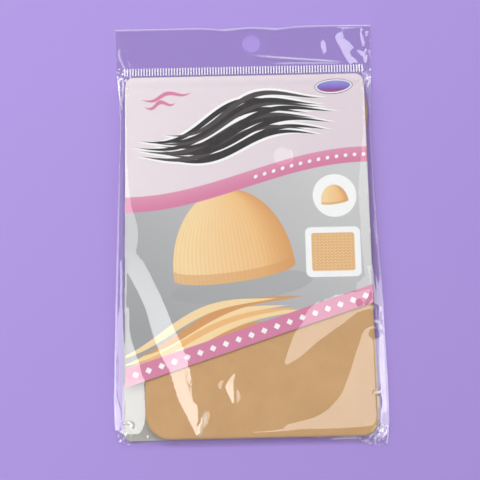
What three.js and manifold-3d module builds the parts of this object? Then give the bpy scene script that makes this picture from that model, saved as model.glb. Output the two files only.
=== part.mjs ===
// A knitted wig cap that lies flat in a folded display card, in a clear film bag with a hanging header.
// Units are millimetres. +X runs across the packet, +Y up it to the header, and +Z out of its front.
import * as THREE from "three";
import { mergeVertices } from "three/addons/utils/BufferGeometryUtils.js";
import Module from "manifold-3d";

const wasm = await Module();
wasm.setup();

// Driving sizes

const layerGap = 0.3; // clear space between two layers that lie on each other

const cap = {
  width: 99.5, // laid flat, from side fold to side fold
  length: 152, // from the crown edge to the open edge
  wall: 1, // one thickness of the knit
  hollow: 0.6, // space left between its front and back where the head goes in
  sideShift: 4.2, // to the right of the card's middle
  crownRise: 0.7, // crown edge above the card's lower edge
  leftCrownRadius: 11,
  rightCrownRadius: 6.5,
};
const hem = {
  depth: 18, // along the cap
  extraWall: 0.2, // how much each side of the doubled edge stands proud of the knit
};
const card = {
  width: 107,
  board: 0.4,
  cornerRadius: 3.6,
  creaseReach: 9, // over which the front panel rises from the crease to lie flat
  creaseLip: 0.8, // pressed together along the crease
  leftDrop: 139, // length of the front panel down its left edge
  rightDrop: 104.5, // and down its right edge, so that its lower edge slants
  slantRadius: 1.2, // of the two corners on the slanting edge
  backShift: -1.3, // of the back panel across, because the board isn't folded quite square
};
const bag = {
  film: 0.3,
  sideRoom: 2.7, // that the film can stand out at the sides, past a tight fit
  bottomRoom: 2.5, // from the card's lower edge to the ends of the two lower corners
  bottomPull: 1.1, // how far the bottom fold is drawn up between those corners
  cornerReach: 9, // width of each of those corners
  weld: 0.8, // width of the side welds
  weldRise: 1.3, // height of the welds above the surface that the bag lies on
};
const seal = {
  room: 1, // from the card's crease to the seal
  height: 3.5,
  ribPitch: 1.25,
  ribWidth: 0.6,
  ribRise: 0.25,
  ribMargin: 0.1, // at each end of a rib
};
const header = {
  height: 18.5, // from the seal to the top edge
  holeDiameter: 8.2,
  holeDrop: 7.95, // hole's centre below the top edge
  holeShift: 3.5, // and to the right of the middle
};
const vent = {
  diameter: 8.2,
  drop: 39, // centre below the card's crease
  shift: 16.1, // and to the right of the middle
};

// How far the side welds stand out. Along is a share of the bag's length, left and right of its side room.
const sideWelds = [
  { along: 0.0, left: 0.5, right: 0.55 },
  { along: 0.02, left: 0.7, right: 0.8 },
  { along: 0.05, left: 0.9, right: 0.95 },
  { along: 0.11, left: 1.0, right: 1.0 },
  { along: 0.31, left: 0.78, right: 0.76 },
  { along: 0.49, left: 0.53, right: 0.5 },
  { along: 0.63, left: 0.28, right: 0.18 },
  { along: 0.77, left: 0.05, right: 0.14 },
  { along: 0.84, left: 0.3, right: 0.4 },
  { along: 0.9, left: 0.78, right: 0.72 },
  { along: 1.0, left: 1.0, right: 0.92 },
];

// Long soft folds in the front film. Across is a share of the half width and along of the pouch's length.
// Rise and reach are shares of the packet's depth, for the fold's height and for half its width.
const filmFolds = [
  { fromAcross: -0.86, fromAlong: 0.6, toAcross: -0.62, toAlong: 0.46, rise: 0.12, reach: 1.3 },
  { fromAcross: -0.62, fromAlong: 0.46, toAcross: -0.4, toAlong: 0.24, rise: 0.13, reach: 1.4 },
  { fromAcross: -0.4, fromAlong: 0.24, toAcross: -0.28, toAlong: 0.02, rise: 0.14, reach: 1.3 },
  { fromAcross: 0.36, fromAlong: 0.34, toAcross: 0.94, toAlong: 0.45, rise: 0.11, reach: 1.3 },
  { fromAcross: 0.35, fromAlong: 0.05, toAcross: 0.86, toAlong: 0.2, rise: 0.13, reach: 1.6 },
  { fromAcross: 0.45, fromAlong: 1.0, toAcross: 0.92, toAlong: 0.9, rise: 0.1, reach: 1.3 },
];

// Height of the header film from the seal to its top edge, as shares of the height of the seal.
const headerWave = [
  { up: 0.0, left: 1.0, middle: 1.0, right: 1.0 },
  { up: 0.35, left: 0.6, middle: 0.35, right: 1.2 },
  { up: 0.7, left: 0.4, middle: 0.0, right: 1.3 },
  { up: 1.0, left: 1.1, middle: 0.5, right: 1.7 },
];

// Sizes that follow

const knitDepth = 2 * cap.wall + cap.hollow;
const hemDepth = knitDepth + 2 * hem.extraWall;
const cardHeight = cap.crownRise + cap.length + layerGap + card.creaseReach;
const backPanelZ = bag.film + layerGap;
const hemZ = backPanelZ + card.board + layerGap;
const frontPanelZ = hemZ + hemDepth + layerGap;
const frontPanelTop = frontPanelZ + card.board;
const creaseTop = backPanelZ + 2 * card.board;
const filmZ = frontPanelTop + layerGap; // underside of the front film

const cardReach = Math.abs(card.backShift) + card.width / 2;
const contentHalf = Math.max(cardReach, Math.abs(cap.sideShift) + cap.width / 2);
const tightHalf = contentHalf + layerGap + bag.weld; // outer edge of a weld that is close to the contents
const bagHalf = tightHalf + bag.sideRoom;
const bagLength = bag.bottomRoom + cardHeight + seal.room + seal.height + header.height;
const bottomY = -bagLength / 2;
const topY = bagLength / 2;
const cardY = bottomY + bag.bottomRoom;
const creaseY = cardY + cardHeight;
const sealY = creaseY + seal.room;
const headerY = sealY + seal.height;
const sealMiddleZ = Math.max(bag.weldRise, bag.film);
const clearZ = 2 * (filmZ + bag.film); // past everything, for what cuts right through
const belowFloor = bag.film + layerGap; // how far the side walls are run on under the floor, to be cut there

// Plain helpers

const { lerp, clamp, smoothstep } = THREE.MathUtils;

function solidOf(geometry) {
  const bare = geometry.index ? geometry.toNonIndexed() : geometry.clone();
  bare.deleteAttribute("normal");
  bare.deleteAttribute("uv");
  const merged = mergeVertices(bare, 1e-4);
  const corners = merged.index.array;
  const kept = [];
  for (let i = 0; i < corners.length; i += 3) {
    const [a, b, c] = corners.subarray(i, i + 3);
    if (a !== b && b !== c && c !== a) kept.push(a, b, c);
  }
  return new wasm.Manifold(
    new wasm.Mesh({
      numProp: 3,
      vertProperties: merged.attributes.position.array,
      triVerts: new Uint32Array(kept),
    }),
  );
}

function meshOf(name, solid, material) {
  const { vertProperties, triVerts } = solid.getMesh();
  const geometry = new THREE.BufferGeometry();
  geometry.setAttribute("position", new THREE.BufferAttribute(vertProperties, 3));
  geometry.setIndex(new THREE.BufferAttribute(triVerts, 1));
  geometry.computeVertexNormals();
  const mesh = new THREE.Mesh(geometry, material);
  mesh.name = name;
  return mesh;
}

function prism(shape, lowZ, highZ, curveSegments = 6) {
  const options = { depth: highZ - lowZ, bevelEnabled: false, curveSegments };
  return solidOf(new THREE.ExtrudeGeometry(shape, options).translate(0, 0, lowZ));
}

// A prism across the packet, from -half to +half, whose outline is given in Y and Z.
function crossBar(outline, half) {
  const shape = new THREE.Shape(outline.map(([y, z]) => new THREE.Vector2(y, z)));
  const geometry = new THREE.ExtrudeGeometry(shape, { depth: 2 * half, bevelEnabled: false });
  geometry.translate(0, 0, -half);
  geometry.applyMatrix4(
    new THREE.Matrix4().makeBasis(
      new THREE.Vector3(0, 1, 0),
      new THREE.Vector3(0, 0, 1),
      new THREE.Vector3(1, 0, 0),
    ),
  );
  return solidOf(geometry);
}

// The outline of a polygon whose corners are rounded, each by its own radius.
function roundedOutline(corners) {
  const shape = new THREE.Shape();
  corners.forEach(({ x, y, radius = 0 }, i) => {
    const here = new THREE.Vector2(x, y);
    const before = corners.at(i - 1);
    const after = corners[(i + 1) % corners.length];
    const inward = new THREE.Vector2(before.x - x, before.y - y).normalize();
    const outward = new THREE.Vector2(after.x - x, after.y - y).normalize();
    const half = Math.acos(clamp(inward.dot(outward), -1, 1)) / 2;
    const back = radius / Math.tan(half);
    const start = here.clone().addScaledVector(inward, back);
    const end = here.clone().addScaledVector(outward, back);
    if (i === 0) shape.moveTo(start.x, start.y);
    else shape.lineTo(start.x, start.y);
    if (radius > 0) shape.quadraticCurveTo(x, y, end.x, end.y);
  });
  shape.closePath();
  return shape;
}

// Reads a table at one place between its rows, smoothly.
function readTable(table, place, key, at) {
  const last = table.length - 1;
  const next = clamp(table.findIndex((row) => row[place] >= at), 1, last);
  const above = table[at > table[last][place] ? last : next];
  const below = table[at > table[last][place] ? last - 1 : next - 1];
  return lerp(below[key], above[key], smoothstep(at, below[place], above[place]));
}

// A closed skin over two fields of points, rows of [x, y, z], that share their edges or are walled there.
function skinBetween(upper, lower) {
  const rows = upper.length;
  const columns = upper[0].length;
  const points = [...upper.flat(), ...lower.flat()];
  const top = (r, c) => r * columns + c;
  const low = (r, c) => (rows + r) * columns + c;
  const faces = [];
  const quad = (a, b, c, d) => faces.push(a, b, c, a, c, d);
  for (let r = 1; r < rows; r++) {
    for (let c = 1; c < columns; c++) {
      quad(top(r - 1, c - 1), top(r - 1, c), top(r, c), top(r, c - 1));
      quad(low(r - 1, c - 1), low(r, c - 1), low(r, c), low(r - 1, c));
    }
    quad(top(r - 1, 0), top(r, 0), low(r, 0), low(r - 1, 0));
    quad(top(r, columns - 1), top(r - 1, columns - 1), low(r - 1, columns - 1), low(r, columns - 1));
  }
  for (let c = 1; c < columns; c++) {
    quad(top(0, c), top(0, c - 1), low(0, c - 1), low(0, c));
    quad(top(rows - 1, c - 1), top(rows - 1, c), low(rows - 1, c), low(rows - 1, c - 1));
  }
  const geometry = new THREE.BufferGeometry();
  geometry.setAttribute("position", new THREE.Float32BufferAttribute(points.flat(), 3));
  geometry.setIndex(faces);
  return solidOf(geometry);
}

// The wig cap: a flat knitted tube, closed and rounded at the crown, with a doubled elastic hem at its
// open edge. It is built with its crown edge on Y = 0 and its middle layer on Z = 0.

// A flattened bag shape whose sides and crown are round folds. It runs past the open edge.
function flatPocket(depth, inset) {
  const roundness = depth / 2;
  const half = cap.width / 2 - inset - roundness;
  const low = inset + roundness;
  const high = cap.length + hem.depth; // well past the open edge
  const shape = roundedOutline([
    { x: half, y: low, radius: cap.rightCrownRadius - inset - roundness },
    { x: half, y: high },
    { x: -half, y: high },
    { x: -half, y: low, radius: cap.leftCrownRadius - inset - roundness },
  ]);
  const flatShare = 0.02; // of the depth, between the two rounded halves of each fold
  const flat = depth * flatShare;
  const geometry = new THREE.ExtrudeGeometry(shape, {
    depth: flat,
    bevelThickness: roundness - flat / 2,
    bevelSize: roundness,
    bevelSegments: 3,
    curveSegments: 8,
  });
  return solidOf(geometry.translate(0, 0, -flat / 2));
}

// What lies between two distances from the crown edge.
function crossSlice(lowY, highY) {
  const reach = knitDepth + hemDepth;
  return crossBar([[lowY, -reach], [highY, -reach], [highY, reach], [lowY, reach]], cap.width);
}

function capBody(material) {
  const knit = flatPocket(knitDepth, 0).subtract(flatPocket(cap.hollow, cap.wall));
  const solid = knit.intersect(crossSlice(-1, cap.length - hem.depth));
  return meshOf("cap_body", solid, material);
}

function elasticHem(material) {
  const doubled = flatPocket(hemDepth, -hem.extraWall).subtract(flatPocket(cap.hollow, cap.wall));
  const solid = doubled.intersect(crossSlice(cap.length - hem.depth + layerGap, cap.length));
  return meshOf("elastic_hem", solid, material);
}

// The display card: one board creased along its top, whose short front panel has a slanting lower edge.
// It is built in the packet's own frame.

function panelOutline(shift, leftDrop, rightDrop, lowerRadius) {
  const left = shift - card.width / 2;
  const right = shift + card.width / 2;
  return roundedOutline([
    { x: right, y: creaseY, radius: card.cornerRadius },
    { x: left, y: creaseY, radius: card.cornerRadius },
    { x: left, y: creaseY - leftDrop, radius: lowerRadius },
    { x: right, y: creaseY - rightDrop, radius: lowerRadius },
  ]);
}

function displayCard(material) {
  const backPanel = prism(
    panelOutline(card.backShift, cardHeight, cardHeight, card.cornerRadius),
    backPanelZ,
    backPanelZ + card.board,
  );
  const flatY = creaseY - card.creaseReach;
  const lowestY = creaseY - cardHeight;
  const risingSheet = crossBar(
    [
      [creaseY, backPanelZ + card.board / 2],
      [creaseY, creaseTop],
      [flatY, frontPanelTop],
      [lowestY, frontPanelTop],
      [lowestY, frontPanelZ],
      [flatY, frontPanelZ],
      [creaseY - card.creaseLip, backPanelZ + card.board],
      [creaseY - card.creaseLip, backPanelZ + card.board / 2],
    ],
    card.width,
  );
  const frontCut = prism(
    panelOutline(0, card.leftDrop, card.rightDrop, card.slantRadius),
    0,
    filmZ + bag.film,
  );
  return meshOf("display_card", backPanel.add(risingSheet.intersect(frontCut)), material);
}

// The film bag: front and back film welded down both sides, folded at the bottom and sealed under the header.

// Where the front panel's slanting edge is, at one place across the packet.
function slantY(x) {
  const share = clamp(x / card.width + 0.5, 0, 1);
  return creaseY - lerp(card.leftDrop, card.rightDrop, share);
}

// The film sinks onto the cap below the front panel.
function sinkBelowPanel(x, y) {
  const clearOfEdge = card.board;
  const settle = 3 * knitDepth;
  const past = slantY(x) - clearOfEdge - y;
  return (card.board + layerGap) * smoothstep(past, 0, settle);
}

// Height that the soft folds add to the front film.
function foldRise(x, y) {
  const pouchLength = sealY - bottomY;
  let rise = 0;
  for (const fold of filmFolds) {
    const from = new THREE.Vector3(fold.fromAcross * bagHalf, bottomY + fold.fromAlong * pouchLength, 0);
    const to = new THREE.Vector3(fold.toAcross * bagHalf, bottomY + fold.toAlong * pouchLength, 0);
    const here = new THREE.Vector3(x, y, 0);
    const near = new THREE.Line3(from, to).closestPointToPoint(here, true, new THREE.Vector3());
    const away = near.distanceTo(here) / (fold.reach * filmZ);
    rise = Math.max(rise, fold.rise * filmZ * (1 - smoothstep(away, 0, 1)));
  }
  const fromSide = smoothstep(contentHalf - Math.abs(x), 0, filmZ);
  const fromBottom = smoothstep(y - cardY, 0, filmZ);
  const fromCrease = smoothstep(creaseY - card.creaseReach - y, 0, filmZ);
  return rise * fromSide * fromBottom * fromCrease;
}

// Height of the front film's upper or under side over the middle of the bag.
function frontLevel(x, y, thickness) {
  const flatY = creaseY - card.creaseReach;
  const flat = filmZ + thickness - sinkBelowPanel(x, y) + foldRise(x, y);
  if (y <= flatY) return flat;
  const overCrease = creaseTop + layerGap + thickness;
  if (y <= creaseY) return lerp(flat, overCrease, (y - flatY) / card.creaseReach);
  return lerp(overCrease, sealMiddleZ + thickness, clamp((y - creaseY) / seal.room, 0, 1));
}

function headerLevel(x, y) {
  const up = (y - headerY) / header.height;
  if (up <= 0) return sealMiddleZ;
  const side = x < 0 ? "left" : "right";
  const middle = readTable(headerWave, "up", "middle", up);
  const edge = readTable(headerWave, "up", side, up);
  const share = lerp(middle, edge, smoothstep(Math.abs(x) / bagHalf, 0.1, 1));
  return bag.film + (sealMiddleZ - bag.film) * share;
}

function weldX(side, y, inset) {
  const along = (y - bottomY) / bagLength;
  const reach = tightHalf + bag.sideRoom * readTable(sideWelds, "along", side, along) - inset;
  return side === "left" ? -reach : reach;
}

// The bottom fold is drawn up round the contents, and its two corners stay out as ears.
function drawnUp(x, y) {
  const firstY = bottomY + bag.film;
  const startY = cardY - layerGap;
  const share = 1 - clamp((y - firstY) / (startY - firstY), 0, 1);
  return y + bag.bottomPull * share * smoothstep(bagHalf - Math.abs(x), 0, bag.cornerReach);
}

// A solid between both faces of the bag, or of the space in it. Inset is the distance in from the welds, and
// thickness is the film's on the outside and nothing on the inside. Its flat floor is cut in one piece.
function bagBody(rowsY, inset, thickness) {
  const wallSteps = 3;
  const flatSteps = 20;
  const flatHalf = contentHalf + layerGap + thickness;
  const floorZ = bag.film - thickness;
  const upper = [];
  const lower = [];
  for (const y of rowsY) {
    const left = weldX("left", y, inset);
    const right = weldX("right", y, inset);
    const across = [];
    for (let i = 0; i < wallSteps; i++) {
      across.push({ x: lerp(left, -flatHalf, i / wallSteps), up: i / wallSteps });
    }
    for (let i = 0; i <= flatSteps; i++) {
      across.push({ x: lerp(-flatHalf, flatHalf, i / flatSteps), up: 1 });
    }
    for (let i = wallSteps - 1; i >= 0; i--) {
      across.push({ x: lerp(right, flatHalf, i / wallSteps), up: i / wallSteps });
    }
    const fromEnd = clamp((y - rowsY[0]) / (cardY - layerGap - rowsY[0]), 0, 1);
    const toSeal = clamp((y - creaseY) / seal.room, 0, 1);
    const topRow = [];
    const lowRow = [];
    for (const { x, up } of across) {
      const open = Math.sin((Math.PI / 2) * Math.min(up, fromEnd));
      const middle = y > sealY ? headerLevel(x, y) : sealMiddleZ;
      const top = y >= sealY ? middle + thickness : frontLevel(x, y, thickness);
      const floor = lerp(floorZ - belowFloor, middle - thickness, toSeal);
      topRow.push([x, drawnUp(x, y), lerp(middle + thickness, top, open)]);
      lowRow.push([x, drawnUp(x, y), lerp(middle - thickness, floor, open)]);
    }
    upper.push(topRow);
    lower.push(lowRow);
  }
  const aboveFloor = crossBar(
    [[bottomY - 1, floorZ], [topY + 1, floorZ], [topY + 1, 2 * clearZ], [bottomY - 1, 2 * clearZ]],
    2 * bagHalf,
  );
  return skinBetween(upper, lower).intersect(aboveFloor);
}

function pouchRows(firstY) {
  const endSteps = 3;
  const longSteps = 28;
  const startY = cardY - layerGap;
  const flatY = creaseY - card.creaseReach;
  const rows = [];
  for (let i = 0; i < endSteps; i++) rows.push(lerp(firstY, startY, i / endSteps));
  for (let i = 0; i <= longSteps; i++) rows.push(lerp(startY, flatY, i / longSteps));
  rows.push((flatY + creaseY) / 2, creaseY, sealY);
  return rows;
}

function sealRibs() {
  const half = bagHalf - bag.weld;
  const count = Math.floor((2 * half) / seal.ribPitch);
  const first = -((count - 1) * seal.ribPitch) / 2;
  const ribs = [];
  for (let i = 0; i < count; i++) {
    const x = first + i * seal.ribPitch;
    const top = sealMiddleZ + bag.film + seal.ribRise;
    const length = seal.height - 2 * seal.ribMargin;
    const rib = new THREE.BoxGeometry(seal.ribWidth, length, top - sealMiddleZ);
    ribs.push(solidOf(rib.translate(x, sealY + seal.height / 2, (top + sealMiddleZ) / 2)));
  }
  return wasm.Manifold.union(ribs);
}

function punch(diameter, x, y, lowZ, highZ) {
  const cutter = new THREE.CylinderGeometry(diameter / 2, diameter / 2, highZ - lowZ, 24);
  cutter.rotateX(Math.PI / 2);
  return solidOf(cutter.translate(x, y, (lowZ + highZ) / 2));
}

function filmBag(material) {
  const headerSteps = 5;
  const headerRows = [headerY];
  for (let i = 1; i <= headerSteps; i++) headerRows.push(lerp(headerY, topY, i / headerSteps));
  const outside = bagBody([...pouchRows(bottomY), ...headerRows], 0, bag.film);
  const inside = bagBody(pouchRows(bottomY + bag.film), bag.weld, 0);
  const hangHole = punch(header.holeDiameter, header.holeShift, topY - header.holeDrop, -clearZ, clearZ);
  const ventHole = punch(vent.diameter, vent.shift, creaseY - vent.drop, frontPanelTop, clearZ);
  const solid = outside.subtract(inside).add(sealRibs()).subtract(hangHole).subtract(ventHole);
  return meshOf("film_bag", solid, material);
}

// Materials

const knitMaterial = new THREE.MeshStandardMaterial({ color: 0xcda57a, roughness: 0.9, metalness: 0 });
const hemMaterial = new THREE.MeshStandardMaterial({ color: 0xc49a6e, roughness: 0.9, metalness: 0 });
const boardMaterial = new THREE.MeshStandardMaterial({ color: 0xece2e6, roughness: 0.55, metalness: 0 });
const filmMaterial = new THREE.MeshStandardMaterial({
  color: 0xf2f0f7,
  roughness: 0.08,
  metalness: 0,
  transparent: true,
  opacity: 0.25,
});

// Assembly

const wigCap = new THREE.Group();
wigCap.position.set(cap.sideShift, cardY + cap.crownRise, hemZ + hemDepth / 2);
wigCap.add(capBody(knitMaterial), elasticHem(hemMaterial));

const packet = new THREE.Group();
packet.add(wigCap, displayCard(boardMaterial), filmBag(filmMaterial));

export default packet;
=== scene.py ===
import math

import bmesh
import bpy
import numpy as np
from mathutils import Euler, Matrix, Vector


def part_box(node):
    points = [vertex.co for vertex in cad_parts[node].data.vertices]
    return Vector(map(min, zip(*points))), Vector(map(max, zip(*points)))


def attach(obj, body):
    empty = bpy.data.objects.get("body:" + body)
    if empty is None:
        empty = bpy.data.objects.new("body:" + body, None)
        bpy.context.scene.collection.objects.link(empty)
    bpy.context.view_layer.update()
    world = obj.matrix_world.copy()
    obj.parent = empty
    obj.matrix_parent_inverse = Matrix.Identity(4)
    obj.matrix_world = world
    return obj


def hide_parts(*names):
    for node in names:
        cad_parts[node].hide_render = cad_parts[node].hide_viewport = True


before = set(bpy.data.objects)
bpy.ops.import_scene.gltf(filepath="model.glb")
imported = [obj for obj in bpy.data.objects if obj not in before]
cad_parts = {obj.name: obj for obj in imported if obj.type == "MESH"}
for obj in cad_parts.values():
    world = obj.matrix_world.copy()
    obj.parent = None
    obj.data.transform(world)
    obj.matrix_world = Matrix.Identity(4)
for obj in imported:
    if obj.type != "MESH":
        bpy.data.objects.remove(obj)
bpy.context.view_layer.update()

mm = 0.001

# Camera
# A phone is held over the packet as it lies on its back, a little below its middle, looking down at it.
camera_distance = 450 * mm
camera_tilt = math.radians(10.04)  # away from straight down
packet_turn = math.radians(1.22)  # the packet lies turned a little anticlockwise in the picture
aim = Vector((-3.46, -4.63, 0.0)) * mm
lens = 76.54

camera_turn = Euler((camera_tilt, 0.0, -packet_turn))
camera = bpy.data.objects.new("camera", bpy.data.cameras.new("camera"))
bpy.context.scene.collection.objects.link(camera)
camera.rotation_euler = camera_turn
camera.location = aim + camera_turn.to_matrix() @ Vector((0.0, 0.0, camera_distance))
camera.data.lens = lens
camera.data.sensor_width = 36.0
camera.data.clip_start = 0.01
bpy.context.scene.camera = camera


# Display card
# A thin coated board, printed on its outside, creased along its top and folded over the cap.
# It is one sheet: a whole back panel, a rounded crease, and a front panel that is die cut at a slant.
card_low, card_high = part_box("display_card")
board = 0.4 * mm
panel_width = 107 * mm
corner_radius = 3.6 * mm
slant_left = Vector((-53.5, -68.3, 0.0)) * mm
slant_right = Vector((53.5, -33.9, 0.0)) * mm
crease_reach = 9 * mm
foot_trim = (0.5 * mm, 0.95 * mm)  # the back panel's foot stands in by this much at its left and right end
board_cell = 4 * mm

panel_middle = card_high.x - panel_width / 2
back_level = card_low.z + board / 2
front_level = card_high.z - board / 2
crease_radius = board / 2
fold_level = back_level + 2 * crease_radius
back_skew = card_low.x - (card_high.x - panel_width)  # the fold isn't quite square


def card_foot(x):
    """The back panel's foot, which isn't cut quite square, at a place across the card."""
    share = (x - card_low.x) / (card_high.x - card_low.x)
    return card_low.y + foot_trim[0] + (foot_trim[1] - foot_trim[0]) * share


def deselect_all():
    if bpy.context.mode != "OBJECT":
        bpy.ops.object.mode_set(mode="OBJECT")
    bpy.ops.object.select_all(action="DESELECT")


def pick(piece, kind, test):
    """In edit mode, selects the piece's vertices, edges or faces whose middle passes the test."""
    bpy.ops.object.mode_set(mode="EDIT")
    bpy.ops.mesh.select_mode(type=kind)
    bpy.ops.mesh.select_all(action="DESELECT")
    shape = bmesh.from_edit_mesh(piece.data)
    parts = {"VERT": shape.verts, "EDGE": shape.edges, "FACE": shape.faces}[kind]
    for part in parts:
        if kind == "VERT":
            middle = part.co
        elif kind == "EDGE":
            middle = (part.verts[0].co + part.verts[1].co) / 2
        else:
            middle = part.calc_center_median()
        if test(middle):
            part.select_set(True)
    shape.select_flush_mode()
    bmesh.update_edit_mesh(piece.data)


def new_piece(name):
    """Names the primitive that was just added, and gives its mesh its place."""
    piece = bpy.context.object
    piece.name = piece.data.name = name
    bpy.ops.object.transform_apply(location=True, rotation=True, scale=True)
    return piece


def add_modifier(piece, kind, **settings):
    modifier = piece.modifiers.new(kind.title(), kind)
    for key, value in settings.items():
        setattr(modifier, key, value)
    bpy.ops.object.modifier_apply(modifier=modifier.name)


def smooth_step(low, high, value):
    share = np.clip((value - low) / (high - low), 0.0, 1.0)
    return share * share * (3.0 - 2.0 * share)


deselect_all()
back_length = card_high.y - 2 * crease_radius - card_low.y
bpy.ops.mesh.primitive_grid_add(
    x_subdivisions=round(panel_width / board_cell),
    y_subdivisions=round(back_length / board_cell),
    size=1,
    location=(panel_middle, card_low.y + back_length / 2, back_level),
)
bpy.context.object.scale = (panel_width, back_length, 1.0)
card = new_piece("folded_card")

profile = [(card_low.y + back_length, back_level)]
for step in range(1, 6):
    angle = math.pi * step / 5 - math.pi / 2
    turn_y = card_low.y + back_length + crease_radius * math.cos(angle)
    profile.append((turn_y, back_level + crease_radius * (1 + math.sin(angle))))
for step in range(1, 10):
    rise = (front_level - fold_level) * float(smooth_step(0, 9, step))
    profile.append((card_low.y + back_length - crease_reach * step / 9, fold_level + rise))
while profile[-1][0] > slant_left.y - board_cell:
    profile.append((profile[-1][0] - board_cell, front_level))

pick(card, "VERT", lambda place: place.y > card_low.y + back_length - 0.1 * mm)
for before, after in zip(profile, profile[1:]):
    step = (0.0, after[0] - before[0], after[1] - before[1])
    bpy.ops.mesh.extrude_region_move(TRANSFORM_OT_translate={"value": step})

# The front panel is cut along its slant.
pick(card, "FACE", lambda place: place.z > fold_level + 0.1 * mm)
along_slant = (slant_right - slant_left).normalized()
below_slant = Vector((along_slant.y, -along_slant.x, 0.0))
bpy.ops.mesh.bisect(plane_co=slant_left, plane_no=below_slant, clear_outer=True)


def round_corner(piece, corner, side, radius, low_z, high_z, cuts=5):
    """Trims a sheet's corner by short straight cuts round an arc. Side is its direction, such as (1, -1)."""
    centre = Vector((corner[0] - side[0] * radius, corner[1] - side[1] * radius, 0.0))

    def in_corner(place):
        past_x = (place.x - centre.x) * side[0]
        past_y = (place.y - centre.y) * side[1]
        near = max(past_x, past_y) < 2 * radius
        return min(past_x, past_y) > -2 * radius and near and low_z < place.z < high_z

    for cut in range(cuts):
        angle = math.pi / 2 * (cut + 0.5) / cuts
        away = Vector((math.cos(angle) * side[0], math.sin(angle) * side[1], 0.0))
        pick(piece, "FACE", in_corner)
        bpy.ops.mesh.bisect(plane_co=centre + away * radius, plane_no=away, clear_outer=True)


for side in (-1, 1):
    edge_x = panel_middle + side * panel_width / 2
    round_corner(card, (edge_x, card_high.y - board / 2), (side, 1), corner_radius, 0.0, card_high.z)
    round_corner(card, (edge_x, card_low.y), (side, -1), corner_radius, 0.0, fold_level)
bpy.ops.object.mode_set(mode="OBJECT")

# The back panel is a little out of square, and its foot is cut a little aslant.
for vertex in card.data.vertices:
    down = (card_high.y - vertex.co.y) / (card_high.y - card_low.y)
    if vertex.co.z < back_level + crease_radius:
        vertex.co.x += back_skew * down
        near_foot = max(0.0, 1 - (vertex.co.y - card_low.y) / (12 * mm))
        vertex.co.y += (card_foot(vertex.co.x) - card_low.y) * near_foot
card.data.update()
bpy.ops.object.mode_set(mode="EDIT")
bpy.ops.mesh.select_all(action="SELECT")
bpy.ops.mesh.remove_doubles(threshold=0.02 * mm)
bpy.ops.mesh.normals_make_consistent(inside=False)
bpy.ops.object.mode_set(mode="OBJECT")
add_modifier(card, "SOLIDIFY", thickness=board, offset=0.0)
add_modifier(card, "BEVEL", width=0.06 * mm, segments=1, limit_method="ANGLE", angle_limit=math.radians(60))
bpy.ops.object.shade_smooth_by_angle(angle=math.radians(35))

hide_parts("display_card")
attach(card, "root")


def colour(red, green, blue):
    """A colour as it is seen on a screen, from 0 to 255, as Blender's linear colour."""
    parts = []
    for part in (red, green, blue):
        share = part / 255
        parts.append(share / 12.92 if share <= 0.04045 else ((share + 0.055) / 1.055) ** 2.4)
    return (*parts, 1.0)


def join(tree, value, socket):
    """Sets a socket to a plain value, or links another node's output to it."""
    if isinstance(value, Reading):
        value = value.socket
    if isinstance(value, bpy.types.NodeSocket):
        tree.links.new(value, socket)
    else:
        socket.default_value = value


class Reading:
    """A number that varies over a surface. Arithmetic on it adds math nodes to its material or group."""

    def __init__(self, tree, socket):
        self.tree = tree
        self.socket = socket

    def through(self, operation, *others, clamp=False):
        """This number and others, put through one math node."""
        node = self.tree.nodes.new("ShaderNodeMath")
        node.operation = operation
        node.use_clamp = clamp
        for value, socket in zip((self, *others), node.inputs):
            join(self.tree, value, socket)
        return Reading(self.tree, node.outputs[0])

    def __add__(self, other):
        return self.through("ADD", other)

    def __sub__(self, other):
        return self.through("SUBTRACT", other)

    def __mul__(self, other):
        return self.through("MULTIPLY", other)

    def __truediv__(self, other):
        return self.through("DIVIDE", other)

    def __abs__(self):
        return self.through("ABSOLUTE")

    def line(self, steepness, start):
        """A straight line over this number."""
        return self.through("MULTIPLY_ADD", steepness, start)

    def ramp(self, steepness, start):
        """A straight line over this number, held between 0 and 1."""
        return self.through("MULTIPLY_ADD", steepness, start, clamp=True)


def length(x, y):
    return (x * x + y * y).through("SQRT")


def mix_colour(tree, share, under, over):
    node = tree.nodes.new("ShaderNodeMix")
    node.data_type = "RGBA"
    join(tree, share, node.inputs["Factor"])
    join(tree, under, node.inputs["A"])
    join(tree, over, node.inputs["B"])
    return node.outputs["Result"]


def noise(tree, vector, scale, detail=2.0, roughness=0.5):
    node = tree.nodes.new("ShaderNodeTexNoise")
    tree.links.new(vector, node.inputs["Vector"])
    node.inputs["Scale"].default_value = scale
    node.inputs["Detail"].default_value = detail
    node.inputs["Roughness"].default_value = roughness
    return Reading(tree, node.outputs["Fac"])


def bump(tree, height, distance, strength=1.0, normal=None):
    node = tree.nodes.new("ShaderNodeBump")
    node.inputs["Distance"].default_value = distance
    node.inputs["Strength"].default_value = strength
    join(tree, height, node.inputs["Height"])
    if normal is not None:
        join(tree, normal, node.inputs["Normal"])
    return node.outputs["Normal"]


def new_material(name):
    material = bpy.data.materials.new(name)
    material.use_nodes = True
    tree = material.node_tree
    return material, tree, tree.nodes["Principled BSDF"]


def place_mm(tree):
    """A point's place on the packet in millimetres, as a vector and as its three parts."""
    place = tree.nodes.new("ShaderNodeTexCoord")
    scale = tree.nodes.new("ShaderNodeVectorMath")
    scale.operation = "SCALE"
    scale.inputs["Scale"].default_value = 1 / mm
    tree.links.new(place.outputs["Object"], scale.inputs[0])
    split = tree.nodes.new("ShaderNodeSeparateXYZ")
    tree.links.new(scale.outputs[0], split.inputs[0])
    return scale.outputs[0], *(Reading(tree, split.outputs[axis]) for axis in "XYZ")


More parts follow.
